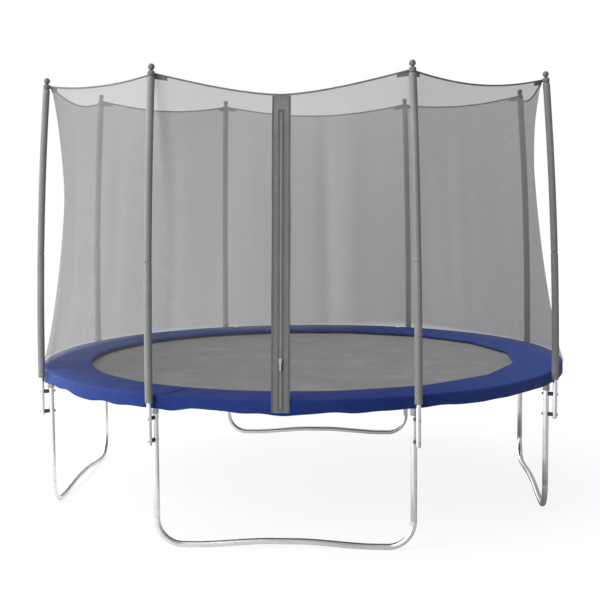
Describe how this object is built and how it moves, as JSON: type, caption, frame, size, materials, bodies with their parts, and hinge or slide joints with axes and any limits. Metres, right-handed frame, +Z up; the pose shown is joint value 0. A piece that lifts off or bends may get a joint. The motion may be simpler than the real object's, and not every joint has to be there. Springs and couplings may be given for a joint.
{
  "type": "trampoline",
  "caption": "Round garden trampoline: sprung mat in a blue-padded tube ring on W-shaped legs, with a tall net enclosure on padded poles and a zipped door.",
  "frame": {"origin": "on the ground under the middle of the mat", "axes": "+Z up; -Y is the front, where the door is; +X is to the right seen from the front"},
  "size_m": [3.0744, 3.0749, 2.3863],
  "materials": {
    "steel": "satin",
    "pole_steel": "satin",
    "spring_steel": "satin",
    "sleeve_foam": "matte",
    "cap_plastic": "satin",
    "mat_weave": "matte",
    "pad_vinyl": "satin",
    "net_mesh": "matte",
    "webbing": "matte",
    "zip_metal": "satin"
  },
  "bodies": {
    "frame": {"top_rail_front_right": "steel", "top_rail_right_front": "steel", "top_rail_right_back": "steel", "top_rail_back_right": "steel", "top_rail_back_left": "steel", "top_rail_left_back": "steel", "top_rail_left_front": "steel", "top_rail_front_left": "steel", "leg_upright_front_right": "steel", "leg_upright_right_front": "steel", "leg_upright_right_back": "steel", "leg_upright_back_right": "steel", "leg_upright_back_left": "steel", "leg_upright_left_back": "steel", "leg_upright_left_front": "steel", "leg_upright_front_left": "steel", "leg_base_front": "steel", "leg_base_right": "steel", "leg_base_back": "steel", "leg_base_left": "steel", "pole_tube_front_right": "pole_steel", "pole_tube_right_front": "pole_steel", "pole_tube_right_back": "pole_steel", "pole_tube_back_right": "pole_steel", "pole_tube_back_left": "pole_steel", "pole_tube_left_back": "pole_steel", "pole_tube_left_front": "pole_steel", "pole_tube_front_left": "pole_steel", "pole_sleeve_front_right": "sleeve_foam", "pole_sleeve_right_front": "sleeve_foam", "pole_sleeve_right_back": "sleeve_foam", "pole_sleeve_back_right": "sleeve_foam", "pole_sleeve_back_left": "sleeve_foam", "pole_sleeve_left_back": "sleeve_foam", "pole_sleeve_left_front": "sleeve_foam", "pole_sleeve_front_left": "sleeve_foam", "pole_cap_front_right": "cap_plastic", "pole_cap_right_front": "cap_plastic", "pole_cap_right_back": "cap_plastic", "pole_cap_back_right": "cap_plastic", "pole_cap_back_left": "cap_plastic", "pole_cap_left_back": "cap_plastic", "pole_cap_left_front": "cap_plastic", "pole_cap_front_left": "cap_plastic", "springs": "spring_steel", "spring_pad": "pad_vinyl", "net_panel_front_left": "net_mesh", "net_panel_front_right": "net_mesh", "net_panel_right_front": "net_mesh", "net_panel_right": "net_mesh", "net_panel_right_back": "net_mesh", "net_panel_back": "net_mesh", "net_panel_left_back": "net_mesh", "net_panel_left": "net_mesh", "net_panel_left_front": "net_mesh", "net_rope": "webbing", "door_band": "webbing"},
    "mat": {"jump_mat": "mat_weave"},
    "slider": {"zip_slider": "zip_metal"},
    "pull": {"zip_pull": "zip_metal"}
  },
  "joints": [
    {"name": "mat_bounce", "type": "slide", "parent": "frame", "child": "mat", "axis": [0, 0, 1], "range_m": [-0.35, 0], "stiffness_N_per_m": 4500, "springref_m": 0.03, "deforming": ["springs"]},
    {"name": "zip_slide", "type": "slide", "parent": "frame", "child": "slider", "axis": [0, 0.1396, 0.9902], "range_m": [0, 1.2]},
    {"name": "zip_pull_swing", "type": "hinge", "parent": "slider", "child": "pull", "pos_m": [0, -1.52279, 0.96177], "axis": [-1, 0, 0], "range_deg": [0, 150]}
  ]
}
